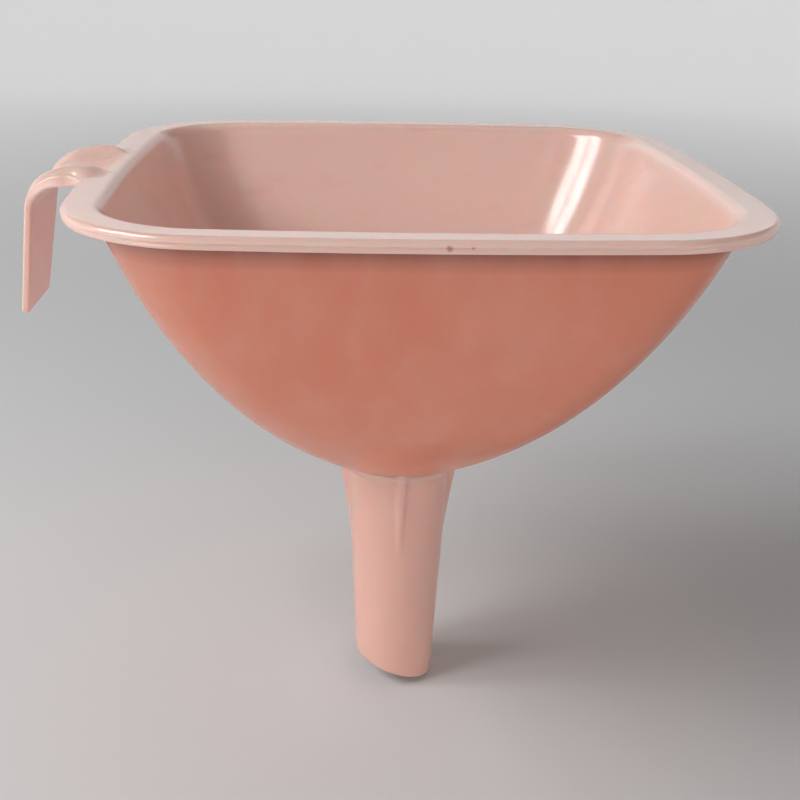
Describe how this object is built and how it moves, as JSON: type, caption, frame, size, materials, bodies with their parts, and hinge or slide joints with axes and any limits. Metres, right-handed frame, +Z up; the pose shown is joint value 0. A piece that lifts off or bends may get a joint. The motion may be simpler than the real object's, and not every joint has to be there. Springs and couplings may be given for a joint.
{
  "type": "funnel",
  "caption": "Square-mouthed plastic kitchen funnel with a rounded rim, tapered spout with a slanted tip, vent ribs and a moulded hook handle.",
  "frame": {"origin": "on the funnel's axis, at the shoulder where the bowl meets the spout, which is what stops on a bottle's mouth", "axes": "+Z up along the funnel's axis, from the spout towards the mouth; the hook handle is on the -X side"},
  "size_m": [0.17, 0.152, 0.1457],
  "materials": {
    "moulded_plastic": "pale pink glossy moulded plastic, slightly translucent"
  },
  "bodies": {
    "root": {"bowl": "moulded_plastic", "rim_flange": "moulded_plastic", "rim_lip": "moulded_plastic", "handle_strap": "moulded_plastic", "handle_front_lip": "moulded_plastic", "handle_back_lip": "moulded_plastic", "spout": "moulded_plastic", "vent_rib_front": "moulded_plastic", "vent_rib_right": "moulded_plastic", "vent_rib_back": "moulded_plastic", "vent_rib_left": "moulded_plastic"}
  },
  "joints": []
}
